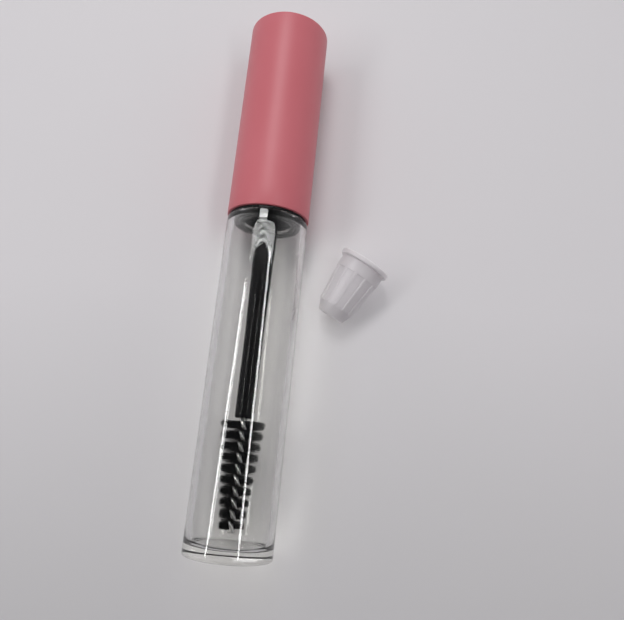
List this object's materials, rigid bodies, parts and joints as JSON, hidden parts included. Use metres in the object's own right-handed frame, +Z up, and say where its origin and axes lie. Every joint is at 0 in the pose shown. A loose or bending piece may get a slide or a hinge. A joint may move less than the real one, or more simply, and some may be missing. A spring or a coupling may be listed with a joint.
{
  "type": "mascara tube",
  "caption": "Clear refillable mascara tube with a thick base, a pink screw cap that carries a rod and a twisted-wire brush, and a loose wiper insert lying beside it.",
  "frame": {"origin": "centre of the bottle's flat base face, on the tube's axis", "axes": "+Y along the tube's axis from the base to the cap's top, +Z up with the tube lying on its side, +X to the right seen from above with the cap ahead"},
  "size_m": [0.039, 0.1251, 0.0192],
  "materials": {
    "clear_wall": "clear moulded PETG, polished",
    "pink_paint": "moulded ABS with soft satin pink paint",
    "black_liner": "black moulded polypropylene, as moulded",
    "black_rod": "black moulded acetal rod, glossy",
    "steel_wire": "drawn stainless steel wire",
    "black_bristles": "black nylon filament",
    "milky_insert": "natural low-density polyethylene, milky translucent"
  },
  "bodies": {
    "bottle": {"bottle": "clear_wall"},
    "rod": {"wand_rod": "black_rod"},
    "cap_and_brush": {"cap_shell": "pink_paint", "cap_liner": "black_liner", "brush_wire": "steel_wire", "bristles": "black_bristles"},
    "wiper": {"wiper_insert": "milky_insert"}
  },
  "joints": [
    {"name": "wand_pull", "type": "slide", "parent": "bottle", "child": "rod", "axis": [0, 1, 0], "range_m": [0, 0.095]},
    {"name": "cap_turn", "type": "hinge", "parent": "rod", "child": "cap_and_brush", "pos_m": [0, 0.1, 0], "axis": [0, 1, 0], "range_deg": [0, 540]},
    {"name": "insert_lift", "type": "slide", "parent": "bottle", "child": "wiper", "axis": [0, 0, 1], "range_m": [0, 0.03]}
  ]
}
